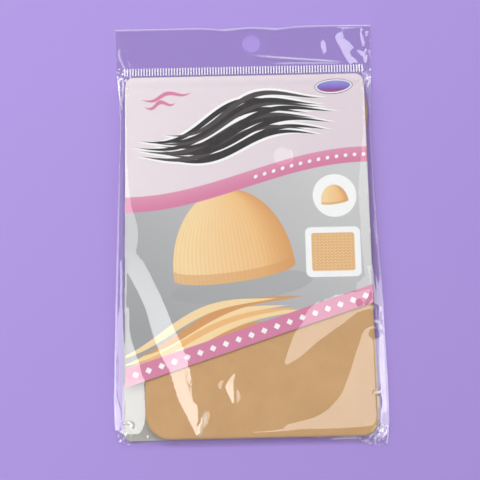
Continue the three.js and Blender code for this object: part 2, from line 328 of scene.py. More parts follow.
def new_group(name, numbers, results):
    """A shader node group of numbers: the group, what it is given, and the sockets of its results."""
    tree = bpy.data.node_groups.new(name, "ShaderNodeTree")
    for label, value in numbers.items():
        socket = tree.interface.new_socket(label, in_out="INPUT", socket_type="NodeSocketFloat")
        socket.default_value = value
    for label in results:
        tree.interface.new_socket(label, in_out="OUTPUT", socket_type="NodeSocketFloat")
    start = tree.nodes.new("NodeGroupInput")
    given = {label: Reading(tree, start.outputs[label]) for label in numbers}
    return tree, given, tree.nodes.new("NodeGroupOutput").inputs


def use_group(tree, group, **values):
    """Places a group in a material. A name such as half_width sets the input Half Width."""
    node = tree.nodes.new("ShaderNodeGroup")
    node.node_tree = group
    for key, value in values.items():
        join(tree, value, node.inputs[key.replace("_", " ").title()])
    return {socket.name: Reading(tree, socket) for socket in node.outputs}


def turned(away_x, away_y, cosine, sine):
    """A place along and across a motif, from how far it is away from the motif's centre."""
    return away_x * cosine + away_y * sine, away_y * cosine - away_x * sine


def place_on_motif(given):
    """Inside a group, a point's place along and across the motif."""
    angle = given["Turn"].through("RADIANS")
    away_x = given["X"] - given["Centre X"]
    away_y = given["Y"] - given["Centre Y"]
    return turned(away_x, away_y, angle.through("COSINE"), angle.through("SINE"))


def edge(past, softness=0.25):
    """A mask that is 1 inside a shape and 0 outside it, from the distance past its edge in millimetres."""
    return past.ramp(-1 / softness, 0.5)


place_inputs = {"X": 0.0, "Y": 0.0, "Centre X": 0.0, "Centre Y": 0.0, "Turn": 0.0}

# A printed oval or disc
oval_group, given, results = new_group(
    "Printed Oval", {**place_inputs, "Half Width": 5.0, "Half Height": 5.0}, ["Mask"]
)
along, across = place_on_motif(given)
past = length(along / given["Half Width"], across / given["Half Height"]) - 1.0
join(oval_group, edge(past * given["Half Height"]), results["Mask"])

# A printed panel with rounded corners
panel_group, given, results = new_group(
    "Printed Panel", {**place_inputs, "Half Width": 5.0, "Half Height": 5.0, "Corner": 1.0}, ["Mask"]
)
along, across = place_on_motif(given)
over_x = abs(along) - given["Half Width"] + given["Corner"]
over_y = abs(across) - given["Half Height"] + given["Corner"]
inside = over_x.through("MAXIMUM", over_y).through("MINIMUM", 0.0)
past = length(over_x.through("MAXIMUM", 0.0), over_y.through("MAXIMUM", 0.0)) + inside - given["Corner"]
join(panel_group, edge(past), results["Mask"])

# A printed lock of hair: a wavy stroke that tapers to both ends
lock_group, given, results = new_group(
    "Printed Lock",
    {**place_inputs, "Length": 40.0, "Thickness": 3.0, "Sway": 3.0, "Waves": 1.0, "Phase": 0.0},
    ["Mask"],
)
along, across = place_on_motif(given)
share = along / given["Length"]
wave = ((share * given["Waves"] + given["Phase"]) * (2 * math.pi)).through("SINE")
taper = (share * share).line(-4.0, 1.0).through("MAXIMUM", 0.0)
half = (taper * given["Thickness"]).line(0.5, -0.13)
join(lock_group, edge(abs(across - wave * given["Sway"]) - half), results["Mask"])

# A printed cap: a dome on a curved rim, with a band round the rim. Round is -1 at its left side and 1 at its
# right, along lines that run up to its crown.
dome_group, given, results = new_group(
    "Printed Dome", {**place_inputs, "Half Width": 10.0, "Height": 10.0}, ["Mask", "Band", "Round"]
)
along, across = place_on_motif(given)
rim = given["Half Width"] * 0.17
share_x = along / given["Half Width"]
share_up = across.through("MAXIMUM", 0.0) / given["Height"]
share_down = across.through("MINIMUM", 0.0) / rim
past = length(share_x, share_up + share_down) - 1.0
reach = across.through("GREATER_THAN", 0.0) * given["Half Width"] * 0.8 + rim
join(dome_group, edge(past * reach), results["Mask"])
curve = (share_x * share_x).line(-1.0, 1.0).through("MAXIMUM", 0.0).through("SQRT")
join(dome_group, edge(curve * rim + across - rim), results["Band"])
narrowing = (share_up * share_up).line(-1.0, 1.0).through("MAXIMUM", 0.02).through("SQRT")
join(dome_group, share_x / narrowing, results["Round"])


blush = colour(207, 194, 201)
blush_light = colour(213, 203, 207)
rose = colour(197, 117, 150)
rose_light = colour(208, 146, 170)
grey_light = colour(191, 190, 191)
grey_dark = colour(143, 144, 146)
charcoal = colour(34, 29, 31)
charcoal_light = colour(66, 58, 60)
paper = colour(228, 228, 228)
amber_light = colour(228, 200, 152)
amber = colour(220, 171, 110)
amber_dark = colour(196, 141, 84)
violet = colour(99, 82, 167)
violet_light = colour(142, 133, 203)
magenta = colour(150, 55, 112)
raw_board = colour(154, 150, 144)
cut_board = colour(215, 210, 203)

card_print, tree, shader = new_material("printed_card")
vector, x, y, z = place_mm(tree)

# The upper field and the grey panel meet at a ribbon that runs across in a slow S. Sizes are in millimetres.
ribbon_middle = 21.5
ribbon_swing = 10.5
ribbon_bend = 0.0294
ribbon_half = 3.5
from_ribbon = y - (x * ribbon_bend).through("SINE").line(ribbon_swing, ribbon_middle)
grey_share = y.ramp(0.0065, x.line(0.0056, 0.556))
grey = mix_colour(tree, grey_share, grey_dark, grey_light)
field = mix_colour(tree, x.ramp(-0.01, 0.4), blush, blush_light)
paint = mix_colour(tree, edge(from_ribbon), field, grey)


def print_dome(paint, ribs, **sizes):
    """Prints an amber cap whose fine ribs run up to its crown, lit from its left."""
    dome = use_group(tree, dome_group, x=x, y=y, **sizes)
    tint = mix_colour(tree, dome["Round"].ramp(0.6, 0.42), amber_light, amber)
    tint = mix_colour(tree, dome["Round"].ramp(1.6, -0.75), tint, amber_dark)
    rib = (dome["Round"] * ribs).through("SINE")
    tint = mix_colour(tree, rib.line(0.09, 0.09), tint, amber_dark)
    tint = mix_colour(tree, dome["Band"] * 0.55, tint, amber_dark)
    return mix_colour(tree, dome["Mask"], paint, tint)


def print_motif(paint, group, tint, **sizes):
    """Prints an oval, a panel or a lock in one colour."""
    return mix_colour(tree, use_group(tree, group, x=x, y=y, **sizes)["Mask"], paint, tint)


# A knitted cap in the grey panel, with a soft shade under it
shade = use_group(
    tree, oval_group, x=x, y=y, centre_x=-3.0, centre_y=-26.0, turn=6, half_width=31, half_height=6.5
)
paint = mix_colour(tree, shade["Mask"] * 0.4, paint, grey_dark)
paint = print_dome(paint, 90.0, centre_x=-6.0, centre_y=-19.5, turn=7.0, half_width=26.5, height=37.0)


def print_hair(paint, tints, margin, centre, turn, strands, spread, hair_length, sway, waves, phase):
    """Prints a sweep of long thin locks that flow side by side, on a pale margin if it has one."""
    across_way = Vector((-math.sin(math.radians(turn)), math.cos(math.radians(turn))))
    along_way = Vector((math.cos(math.radians(turn)), math.sin(math.radians(turn))))
    passes = [(margin, [paper])] if margin else []
    for extra, colours in passes + [(0.0, tints)]:
        for strand in range(strands):
            offset = strand - (strands - 1) / 2
            stagger = math.sin(strand * 2.4)
            middle = Vector(centre) + across_way * offset * spread + along_way * stagger * hair_length * 0.07
            paint = print_motif(
                paint, lock_group, colours[strand % len(colours)],
                centre_x=middle.x, centre_y=middle.y, turn=turn + offset * 0.5,
                length=hair_length * (1 - 0.02 * abs(offset)) + extra, thickness=spread * 1.9 + extra,
                sway=sway + 0.12 * offset, waves=waves, phase=phase + 0.012 * offset + 0.015 * stagger,
            )
    return paint


# Warm hair that sweeps across below the cap
paint = print_hair(
    paint, [amber, amber_light, amber_dark, amber_light], margin=0.0, centre=(-17.0, -47.0), turn=17.0,
    strands=8, spread=2.1, hair_length=82.0, sway=3.2, waves=0.9, phase=0.12,
)

# The ribbon, with a paler upper edge and a row of small pale dots at its right
ribbon_tint = mix_colour(tree, from_ribbon.ramp(0.12, 0.2), rose, rose_light)
paint = mix_colour(tree, edge(abs(from_ribbon) - ribbon_half), paint, ribbon_tint)
dot_pitch = 4.0
dot_radius = 0.8
first_dot = 2.0
from_dot = x - (x + dot_pitch / 2).through("SNAP", dot_pitch)
ribbon_dots = edge(length(from_dot, from_ribbon) - dot_radius) * edge(x.line(-1.0, first_dot))
paint = mix_colour(tree, ribbon_dots, paint, paper)

# Dark hair across the upper field, and two rose curls
paint = print_hair(
    paint, [charcoal, charcoal, charcoal_light], margin=2.4, centre=(-5.0, 44.5), turn=12.0,
    strands=12, spread=1.5, hair_length=84.0, sway=4.2, waves=1.15, phase=0.05,
)
for centre_x, centre_y, curl_length in ((-35.0, 60.5, 24.0), (-38.0, 56.5, 15.0)):
    paint = print_motif(
        paint, lock_group, rose, centre_x=centre_x, centre_y=centre_y, turn=10.0, length=curl_length,
        thickness=2.2, sway=1.1, waves=1.6, phase=0.2,
    )

# A violet badge: an oval in a pale and a dark rim, lighter above, with a magenta foot
badge_tint = mix_colour(tree, y.ramp(0.2, -12.4), violet, violet_light)
badge_tint = mix_colour(tree, y.ramp(-0.5, 31.6), badge_tint, magenta)
for half_width, half_height, tint in ((8.6, 4.0, charcoal), (8.3, 3.7, paper), (7.6, 3.1, badge_tint)):
    paint = print_motif(
        paint, oval_group, tint, centre_x=40.0, centre_y=64.0, turn=5.0, half_width=half_width,
        half_height=half_height,
    )

# A white disc with a small cap, and a white panel with a knitted swatch
paint = print_motif(
    paint, oval_group, paper, centre_x=38.5, centre_y=13.5, half_width=9.6, half_height=9.6
)
paint = print_dome(paint, 28.0, centre_x=38.5, centre_y=10.6, turn=7.0, half_width=6.0, height=7.8)
paint = print_motif(
    paint, panel_group, paper, centre_x=37.0, centre_y=-11.5, half_width=12.0, half_height=11.0, corner=2.5
)
swatch_wale = 0.85
swatch_row = 1.3
stitch_row = (x.through("PINGPONG", swatch_wale).line(1.1, y) * (2 * math.pi / swatch_row)).through("SINE")
wale = (x * (math.pi / swatch_wale)).through("SINE")
knit_share = stitch_row.ramp(0.35, wale.line(0.1, 0.45))
knit_tint = mix_colour(tree, knit_share, amber_dark, amber_light)
paint = print_motif(
    paint, panel_group, knit_tint, centre_x=37.0, centre_y=-11.5, half_width=9.4, half_height=8.4, corner=1.2
)

# A plain stripe along the slanting edge, with small pale lozenges
stripe_half = 3.7
lozenge_half = 1.5
lozenge_pitch = 5.8
stripe_x = slant_left.x / mm - below_slant.x * stripe_half
stripe_y = slant_left.y / mm - below_slant.y * stripe_half
along, across = turned(x - stripe_x, y - stripe_y, along_slant.x, along_slant.y)
stripe = edge(abs(across) - stripe_half).through("MAXIMUM", edge(across))
paint = mix_colour(tree, stripe, paint, rose)
from_lozenge = along - (along + lozenge_pitch / 2).through("SNAP", lozenge_pitch)
paint = mix_colour(tree, edge(abs(from_lozenge) + abs(across) - lozenge_half), paint, paper)

# Only the front panel's face is printed. The inside is bare board, and so are the cut edges.
normal_node = tree.nodes.new("ShaderNodeNewGeometry")
normal_split = tree.nodes.new("ShaderNodeSeparateXYZ")
tree.links.new(normal_node.outputs["True Normal"], normal_split.inputs[0])
upward = Reading(tree, normal_split.outputs["Z"])
facing_up = upward.through("GREATER_THAN", 0.5)
on_front = z.through("GREATER_THAN", fold_level / mm + 0.1)
bare = mix_colour(tree, abs(upward).through("GREATER_THAN", 0.5), cut_board, raw_board)
paint = mix_colour(tree, facing_up * on_front, bare, paint)

# Ink and board vary a little, and the coating shows the board's grain.
mottle = noise(tree, vector, 0.35, 3.0)
paint = mix_colour(tree, mottle.ramp(0.12, -0.03), paint, grey_dark)
grain = noise(tree, vector, 4.0, 4.0, 0.6)
join(tree, paint, shader.inputs["Base Color"])
join(tree, grain.line(0.2, 0.34), shader.inputs["Roughness"])
join(tree, bump(tree, grain, 0.02 * mm, 0.6), shader.inputs["Normal"])
card.data.materials.clear()
card.data.materials.append(card_print)


# Knitted cap
# A fine nylon tube, knitted in wales that run along it, closed and rounded at the crown and folded flat.
# It is open at the end that lies under the card, where a doubled elastic hem is sewn on.
cap_low, cap_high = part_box("cap_body")
hem_low, hem_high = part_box("elastic_hem")
left_crown_radius = 11 * mm
right_crown_radius = 6.5 * mm
hem_bulge = 1.1 * mm  # the hem's right fold stands out past the card
knit_wall = 0.7 * mm
knit_cell = 4 * mm


def flat_pocket(name, low, high, crown):
    """A flattened tube with round side folds, open at its upper end, and at its lower one without a crown."""
    deselect_all()
    middle = (low + high) / 2
    bpy.ops.mesh.primitive_cube_add(size=1, location=middle)
    bpy.context.object.scale = high - low
    piece = new_piece(name)

    def at_open_end(place):
        return place.y > high.y - 0.1 * mm or (not crown and place.y < low.y + 0.1 * mm)

    pick(piece, "FACE", at_open_end)
    bpy.ops.mesh.delete(type="ONLY_FACE")
    if crown:
        for side_x, radius, segments in ((low.x, left_crown_radius, 10), (high.x, right_crown_radius, 8)):
            pick(
                piece,
                "EDGE",
                lambda place: abs(place.x - side_x) < 0.1 * mm
                and abs(place.y - low.y) < 0.1 * mm
                and abs(place.z - middle.z) < 0.1 * mm,
            )
            bpy.ops.mesh.bevel(offset=radius, segments=segments, profile=0.5, affect="EDGES")

    def on_fold(place):
        on_face = abs(abs(place.z - middle.z) - (high.z - low.z) / 2) < 0.05 * mm
        inner = low.x + 0.5 * mm < place.x < high.x - 0.5 * mm
        return on_face and not (inner and at_open_end(place))

    pick(piece, "EDGE", on_fold)
    bpy.ops.mesh.bevel(offset=(high.z - low.z) * 0.49, segments=4, profile=0.5, affect="EDGES")
    for axis, cuts in ((0, round((high.x - low.x) / knit_cell)), (1, round((high.y - low.y) / knit_cell))):
        for cut in range(1, cuts):
            place = Vector(middle)
            place[axis] = low[axis] + (high[axis] - low[axis]) * cut / cuts
            normal = Vector((0.0, 0.0, 0.0))
            normal[axis] = 1.0
            bpy.ops.mesh.select_all(action="SELECT")
            bpy.ops.mesh.bisect(plane_co=place, plane_no=normal)
    bpy.ops.mesh.select_all(action="SELECT")
    bpy.ops.mesh.remove_doubles(threshold=0.01 * mm)
    bpy.ops.object.mode_set(mode="OBJECT")
    return piece


def settle_cloth(piece, low, high, ripple):
    """Lets a flat pocket's folds wander a little, as soft cloth does, inside its own space."""
    points = np.empty(len(piece.data.vertices) * 3)
    piece.data.vertices.foreach_get("co", points)
    points = points.reshape(-1, 3)
    x, y = points[:, 0] / mm, points[:, 1] / mm
    side = (points[:, 0] - (low.x + high.x) / 2) / ((high.x - low.x) / 2)
    wander = np.sin(y * 0.13) + 0.6 * np.sin(y * 0.31 + 1.0)
    points[:, 0] -= np.sign(side) * np.abs(side) ** 8 * (1.0 + 0.5 * wander) * ripple
    dip = 0.5 + 0.25 * np.sin(x * 0.21 + y * 0.05) + 0.25 * np.sin(y * 0.17 - x * 0.08)
    outward = np.sign(points[:, 2] - (low.z + high.z) / 2)
    points[:, 2] -= outward * dip * ripple
    piece.data.vertices.foreach_set("co", points.ravel())
    piece.data.update()


def hem_reach(y):
    """How far the hem's right fold stands out at a place along the cap."""
    along = (y - (hem_low.y + hem_high.y) / 2) / ((hem_high.y - hem_low.y) / 2)
    return hem_bulge * np.clip(1 - along**2, 0.0, 1.0)


cap = flat_pocket("knitted_cap", cap_low, cap_high, crown=True)
hem = flat_pocket("sewn_hem", hem_low, hem_high, crown=False)
for vertex in hem.data.vertices:
    across = (vertex.co.x - hem_low.x) / (hem_high.x - hem_low.x)
    vertex.co.x += float(hem_reach(vertex.co.y) * smooth_step(0.8, 1.0, across))
for piece, low, high in ((cap, cap_low, cap_high), (hem, hem_low, hem_high)):
    deselect_all()
    piece.select_set(True)
    bpy.context.view_layer.objects.active = piece
    settle_cloth(piece, low, high, 0.16 * mm)
    add_modifier(piece, "SUBSURF", levels=1, render_levels=1)
    add_modifier(piece, "SOLIDIFY", thickness=knit_wall, offset=-1.0)
    bpy.ops.object.shade_smooth_by_angle(angle=math.radians(50))
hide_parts("cap_body")
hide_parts("elastic_hem")
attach(cap, "root")
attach(hem, "root")

# Knit: wales along the cap with stitch rows across them, as a height from 0 to 1
knit_inputs = {"X": 0.0, "Y": 0.0, "Pitch": 0.5, "Row": 0.4}
knit_group, given, results = new_group("Fine Knit", knit_inputs, ["Height"])
wale = abs((given["X"] / given["Pitch"] * math.pi).through("SINE"))
row = ((given["Y"] / given["Row"] + wale * 0.35) * (2 * math.pi)).through("SINE")
join(knit_group, row * 0.18 + wale * 0.8, results["Height"])


def knit_material(name, light, dark, pitch, row, depth):
    """Knitted nylon with its wales a pitch apart in millimetres, clouded and a little slubby."""
    material, tree, shader = new_material(name)
    vector, x, y, _ = place_mm(tree)
    height = use_group(tree, knit_group, x=x, y=y, pitch=pitch, row=row)["Height"]
    cloud = noise(tree, vector, 0.09, 3.0, 0.55)
    slub = noise(tree, vector, 1.1, 3.0, 0.6)
    tint = mix_colour(tree, slub.ramp(0.45, cloud.line(1.1, -0.43)), dark, light)
    # Painted shade: the knit's hollows, where its height is low, are mixed towards the dark tan.
    tint = mix_colour(tree, height.line(-0.3, 0.3), tint, dark)
    join(tree, tint, shader.inputs["Base Color"])
    join(tree, slub.line(0.1, 0.8), shader.inputs["Roughness"])
    soft = bump(tree, slub, 0.25 * mm, 0.35)
    join(tree, bump(tree, height, depth, 0.8, soft), shader.inputs["Normal"])
    shader.inputs["Sheen Weight"].default_value = 0.25
    shader.inputs["Sheen Roughness"].default_value = 0.5
    shader.inputs["Specular IOR Level"].default_value = 0.2
    return material


tan_knit = knit_material("tan_knit", colour(205, 166, 121), colour(187, 148, 104), 0.55, 0.42, 0.12 * mm)
# Painted shade: the hem's knit is darker and duller than the cap's tan. It stands in for the shadow that the
# card's edge casts on the hem's fold where the fold shows beside the card.
hem_knit_painted_shade = knit_material("hem_knit_painted_shade", colour(176, 146, 114), colour(152, 123, 94), 1.1, 0.9, 0.2 * mm)
cap.data.materials.append(tan_knit)
hem.data.materials.append(hem_knit_painted_shade)


# Clear bag
# Two sheets of thin clear film, welded down both sides and folded at the bottom, drawn tight over the card and
# cap. Above the card they run on together as a header with a hang hole. The front sheet has a small vent hole.
bag_low, bag_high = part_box("film_bag")
film_gap = 0.25 * mm  # kept between the film and what it covers
sheet_gap = 0.12 * mm  # between the two sheets where they lie together
weld_width = 0.8 * mm
seal_low_y = card_high.y + 0.8 * mm
seal_high_y = seal_low_y + 3.5 * mm
hang_hole = (3.5 * mm, bag_high.y - 7.95 * mm, 4.1 * mm)
vent_hole = (16.1 * mm, card_high.y - 39.2 * mm, 4.1 * mm)

# The welds' distance from the bag's middle at heights up the bag, in millimetres
left_weld = [
    (-93.7, 57.0), (-90, 57.6), (-84, 58.3), (-73, 58.6), (-36, 58.0), (-2, 57.3), (25, 56.6), (50, 56.0),
    (63.5, 56.8), (76, 58.0), (93.7, 58.6),
]
right_weld = [
    (-93.7, 57.2), (-90, 57.9), (-84, 58.4), (-67, 58.5), (-33, 57.9), (-13, 57.3), (12, 56.6), (34, 56.2),
    (46, 56.2), (63.5, 57.0), (76, 57.8), (93.7, 58.3),
]

# How high the left and the right weld stand at heights up the bag, in millimetres. Beside the card and the cap
# they hang in the air, half way up the contents, and at both ends they come down to the table.
weld_levels = [
    (-93.7, 1.2, 1.0), (-90, 2.3, 1.3), (-86, 3.4, 1.8), (-80, 3.7, 2.2), (-70, 3.7, 2.2), (-45, 3.0, 2.2),
    (-34, 3.0, 3.4), (-22, 3.0, 3.2), (-8, 3.0, 1.6), (20, 2.8, 1.2), (36, 1.6, 1.2), (66, 1.2, 1.2),
    (93.7, 1.2, 1.2),
]

# Where the drawn film bridges over a step down: its outline in millimetres, a point of it with the film's
# height there, and the rise per millimetre to the right and up the bag
bridges = [
    # The board's bare corner at the lower left, beside the cap
    (
        [(-55, -66), (-44, -64), (-44.4, -80), (-46, -86), (-48, -88.3), (-55, -88.6)],
        (-53.5, -66.5, 5.2), (0.085, 0.045),
    ),
    # Below the card's slanting edge, left of the long facet
    (
        [(-45.5, -64), (-38.2, -60), (-36.2, -67.4), (-33.6, -75.8), (-31, -80), (-44, -80)],
        (-38, -62, 5.25), (-0.014, 0.043),
    ),
    # The level wedge under the step at the slanting edge's right end
    (
        [(48.0, -38.6), (54.6, -36.2), (54.6, -46.0), (51.4, -45.4), (49.2, -42.0)],
        (51, -41, 5.15), (0.0, 0.0),
    ),
]

# Facets that the slack film is drawn into. Each has its outline in millimetres, how many degrees it leans at
# its upper and its lower end, and the way that it leans: 0 is to the right, 90 to the header, 180 to the left.
pouch_facets = [
    # The long facet that starts along the card's left side and crosses to a point on the cap's lower edge
    (
        [(-53.4, 32), (-52.5, 22), (-51.2, 11.4), (-48.1, 1.5), (-47.9, -5.5), (-50.1, -9), (-49.7, -12.6),
         (-45.3, -14.8), (-41.9, -21), (-38.5, -28.1), (-35.9, -33.8), (-32.2, -43.8), (-30.1, -47.2),
         (-27.1, -53.7), (-25.1, -60.1), (-22.8, -67.8), (-21.3, -74.1), (-22.2, -80.3), (-23.4, -89.6),
         (-27.4, -82.3), (-31.4, -76), (-34.0, -67.6), (-36.8, -59.9), (-39.8, -52.6), (-42.4, -45.3),
         (-44.6, -34.5), (-48.6, -25.7), (-52.3, -19.1), (-55, -17), (-55, 32)],
        (3.0, 8.4), 192,
    ),
    # Two small ones on the cap, right of its point
    (
        [(-6.2, -62.0), (-10.7, -66.4), (-12.4, -69.3), (-9.6, -73.0), (-7.5, -77), (-7.4, -69.3)],
        (14.0, 14.0), 185,
    ),
    ([(-19.4, -77.9), (-22.1, -88.6), (-20.6, -85)], (12.0, 12.0), 185),
    # The triangle where the film comes down off the card's slanting edge
    (
        [(20.3, -39.7), (21.5, -43.2), (18.4, -46.6), (16, -54.6), (15.4, -58.9), (19.3, -58.1), (29, -50.2),
         (40.4, -42.7), (48.4, -36.4), (50.2, -34.3), (52, -29), (40, -29), (30, -31)],
        (6.5, 6.5), 315,
    ),
    # The lower right corner
    (
        [(53.5, -44), (51, -45.1), (48.7, -48.1), (45.5, -54.4), (42.6, -62.8), (39.7, -70.4), (36.6, -75.3),
         (31.7, -79.8), (25.7, -82.6), (18.1, -84.1), (14.2, -84.9), (13.3, -88.2), (20.1, -87.1), (37, -86.6),
         (53.1, -85.7), (55, -85), (55, -44)],
        (2.4, 2.4), 315,
    ),
    # Below it, the film turns down round the cap's crown
    (
        [(-40, -89.5), (-10, -88.6), (13.3, -88.2), (20.1, -87.3), (37, -86.9), (52.6, -86.0), (53.5, -91),
         (-40, -91)],
        (12.0, 12.0), 270,
    ),
    # At the slanting edge's right end the film steps down, and lies level under the step
    ([(47.5, -36.0), (54.5, -33.6), (54.5, -36.0), (47.5, -38.4)], (15.0, 15.0), 288),
    ([(48.5, -38.4), (54.2, -36.2), (53.9, -45.5), (51, -45), (48.0, -41)], (1.0, 1.0), 135),
    # The film that leans out over the bare board at the lower left
    (
        [(-54.8, -35), (-51.8, -35.1), (-51.8, -43.7), (-50.9, -48.1), (-49.2, -53.2), (-47.6, -57.5),
         (-46.4, -63), (-45.4, -69), (-44.7, -79), (-45.4, -84), (-46.5, -86.1), (-47.3, -87.5), (-50.1, -87.9),
         (-52.6, -88.6), (-54.8, -88.6)],
        (5.0, 6.0), 184,
    ),
    # A strip down the card's right side
    ([(51.8, 38), (50.6, 30), (48.8, 15), (49.4, 0), (50.2, -20), (55, -29), (55, 38)], (4.0, 4.0), 5),
]
header_facets = [
    # The large one, with a notch in its lower right side
    (
        [(41.7, 88.0), (43.3, 87.7), (45.6, 86.5), (47.9, 85.7), (50.1, 83.6), (53.4, 81.8), (56.2, 79.8),
         (56.6, 78.2), (55.1, 76.0), (54.4, 76.9), (53.8, 78.5), (52.1, 80.1), (50.0, 81.4), (48.3, 80.8),
         (48.7, 79.2), (50.3, 78.3), (52.1, 76.5), (53.7, 75.0), (52.6, 73.2), (49.2, 73.4), (47.7, 75.1),
         (46.1, 77.8), (44.9, 80.2), (43.4, 83.8), (42.2, 86.0)],
        (15.0, 15.0), 4,
    ),
    ([(53.3, 89.3), (54.3, 89.0), (54.9, 86.5), (55.2, 83.5), (54.1, 83.8), (53.6, 86.7)], (16.0, 16.0), 0),
    ([(35.3, 85.9), (36.3, 86.4), (37.3, 85.7), (37.9, 83.9), (37.7, 81.2), (36.6, 80.3), (35.6, 81.3),
      (35.0, 83.9)], (15.0, 15.0), 5),
    ([(28.6, 85.9), (29.6, 86.8), (32.0, 86.9), (31.4, 86.0), (29.6, 85.4)], (15.0, 15.0), 30),
    ([(41.1, 83.4), (42.1, 83.2), (43.7, 80.2), (45.3, 77.8), (45.5, 76.2), (42.7, 77.2), (40.9, 78.5),
      (40.5, 80.7)], (9.0, 9.0), 20),
    ([(33.5, 77.5), (37.7, 78.2), (41.9, 77.8), (45.0, 76.6), (44.3, 75.6), (37.6, 75.7), (34.3, 76.4)],
     (11.0, 11.0), 60),
]
# Sharp creases: points in millimetres, the height and the half width
creases = [
    ([(3.8, 80.2), (14.2, 79.1), (25.5, 78.0), (33.6, 77.3), (45.8, 76.1)], 0.2, 0.5),
    ([(12.3, 76.0), (25.5, 76.1), (44.9, 75.5)], 0.13, 0.5),
    ([(-54.7, 85.3), (-56.2, 83.9), (-56.1, 80.6), (-54.3, 76.2), (-52.5, 72.9)], 0.06, 0.45),
    ([(-52.5, 79.1), (-51.6, 77.1), (-50.7, 75.2)], 0.04, 0.45),
    ([(-54.8, 72.4), (-52.5, 73.6), (-50.0, 74.4)], 0.09, 0.6),
    # In the side strips and the corners of the pouch
    ([(-56.9, 70.5), (-57.0, 68.4), (-56.6, 63.7), (-55.5, 58.5), (-55.2, 54.3)], 0.35, 0.5),
    ([(-54.9, 70.5), (-54.6, 66.5), (-54.9, 61.3), (-55.3, 58.5)], 0.3, 0.5),
    ([(54.4, 67.0), (55.9, 68.8), (56.9, 66.9), (55.2, 64.1)], 0.4, 0.6),
    ([(52.7, -42.4), (55.7, -42.4), (57.3, -45.9)], 0.35, 0.7),
    ([(51.4, -72.6), (54.3, -72.9), (55.7, -71.1)], 0.35, 0.6),
    ([(-54.6, -83.2), (-52.7, -83.0)], 0.35, 0.6),
    ([(-52.7, -82.2), (-50.6, -83.9), (-51.4, -85.5)], 0.3, 0.8),
    ([(33.3, -91.4), (44.4, -91.3), (46.1, -90.1)], 0.25, 0.5),
    ([(-19.4, -77.9), (-20.6, -83), (-22.6, -89.5)], 0.25, 0.9),
]


def uneven(low, high, bands):
    """Points from low to high. Each band gives a place where it ends and the step that it is cut into."""
    points = [low]
    for end, step in (*bands, (high, bands[-1][1])):
        count = max(1, round((end - points[-1]) / step))
        start = points[-1]
        points += [start + (end - start) * cut / count for cut in range(1, count + 1)]
        if end >= high:
            break
    return np.array(points)


def waves(x, y, size, seed):
    """Soft seeded ripples, about 1 high, with a wavelength of about the given size in millimetres."""
    random = np.random.default_rng(seed)
    total = np.zeros_like(x)
    for _ in range(9):
        angle = random.uniform(0, math.pi)
        length = size * random.uniform(0.7, 1.6)
        phase = random.uniform(0, 2 * math.pi)
        total += np.sin((x * math.cos(angle) + y * math.sin(angle)) * 2 * math.pi / length + phase)
    return total / 3.0


def nearest_on_path(x, y, path):
    """Distance from each point to a path, and how far along the path the nearest place is, from 0 to 1."""
    corners = [Vector(point) for point in path]
    total = sum((after - before).length for before, after in zip(corners, corners[1:]))
    nearest = np.full(x.shape, 1e9)
    run = np.zeros(x.shape)
    passed = 0.0
    for before, after in zip(corners, corners[1:]):
        length = (after - before).length
        way = (after - before) / length
        share = np.clip((x - before.x) * way.x + (y - before.y) * way.y, 0.0, length)
        distance = np.hypot(x - before.x - way.x * share, y - before.y - way.y * share)
        run = np.where(distance < nearest, (passed + share) / total, run)
        nearest = np.minimum(distance, nearest)
        passed += length
    return nearest, run


def facet_share(x, y, outline, softness=0.5):
    """1 inside an outline and 0 outside, with a short slope between."""
    inside = np.zeros(x.shape, dtype=bool)
    for (from_x, from_y), (to_x, to_y) in zip(outline, outline[1:] + outline[:1]):
        if from_y == to_y:
            continue
        crosses = (from_y > y) != (to_y > y)
        inside ^= crosses & (x < from_x + (to_x - from_x) * (y - from_y) / (to_y - from_y))
    distance, _ = nearest_on_path(x, y, outline + outline[:1])
    return np.clip(0.5 + np.where(inside, distance, -distance) / softness, 0.0, 1.0)


def facet_slope(x, y, facets):
    """The rise in x and in y, per millimetre, that the facets ask for at each point."""
    slope_x, slope_y = np.zeros(x.shape), np.zeros(x.shape)
    for outline, (upper_lean, lower_lean), way in facets:
        heights = [point[1] for point in outline]
        lean = np.interp(y, (min(heights), max(heights)), (lower_lean, upper_lean))
        steep = np.tan(np.radians(lean)) * facet_share(x, y, outline)
        slope_x -= steep * math.cos(math.radians(way))
        slope_y -= steep * math.sin(math.radians(way))
    return slope_x, slope_y


def draw_tight(level, floor, held, x, y, facets, rounds):
    """Draws a sheet tight over what it covers, with its facets in it. Free points move up and down alone."""
    step_x, step_y = np.diff(x, axis=1), np.diff(y, axis=0)
    rise_x = facet_slope((x[:, 1:] + x[:, :-1]) / 2, (y[:, 1:] + y[:, :-1]) / 2, facets)[0] * step_x
    rise_y = facet_slope((x[1:] + x[:-1]) / 2, (y[1:] + y[:-1]) / 2, facets)[1] * step_y
    wide = (step_x[1:-1, 1:] + step_x[1:-1, :-1]) / 2
    tall = (step_y[1:, 1:-1] + step_y[:-1, 1:-1]) / 2
    pull_left, pull_right = tall / step_x[1:-1, :-1], tall / step_x[1:-1, 1:]
    pull_down, pull_up = wide / step_y[:-1, 1:-1], wide / step_y[1:, 1:-1]
    pull = pull_left + pull_right + pull_down + pull_up
    asked = (
        pull_left * rise_x[1:-1, :-1] - pull_right * rise_x[1:-1, 1:]
        + pull_down * rise_y[:-1, 1:-1] - pull_up * rise_y[1:, 1:-1]
    ) / pull
    row, column = np.indices(pull.shape)
    free = ~held[1:-1, 1:-1]
    turns = [free & ((row + column) % 2 == turn) for turn in (0, 1)]
    level = level.copy()
    inner = level[1:-1, 1:-1]
    for _ in range(rounds):
        for turn in turns:
            goal = (
                pull_left * level[1:-1, :-2] + pull_right * level[1:-1, 2:]
                + pull_down * level[:-2, 1:-1] + pull_up * level[2:, 1:-1]
            ) / pull + asked
            moved = np.maximum(inner + 1.94 * (goal - inner), floor[1:-1, 1:-1])
            inner[turn] = moved[turn]
    return level


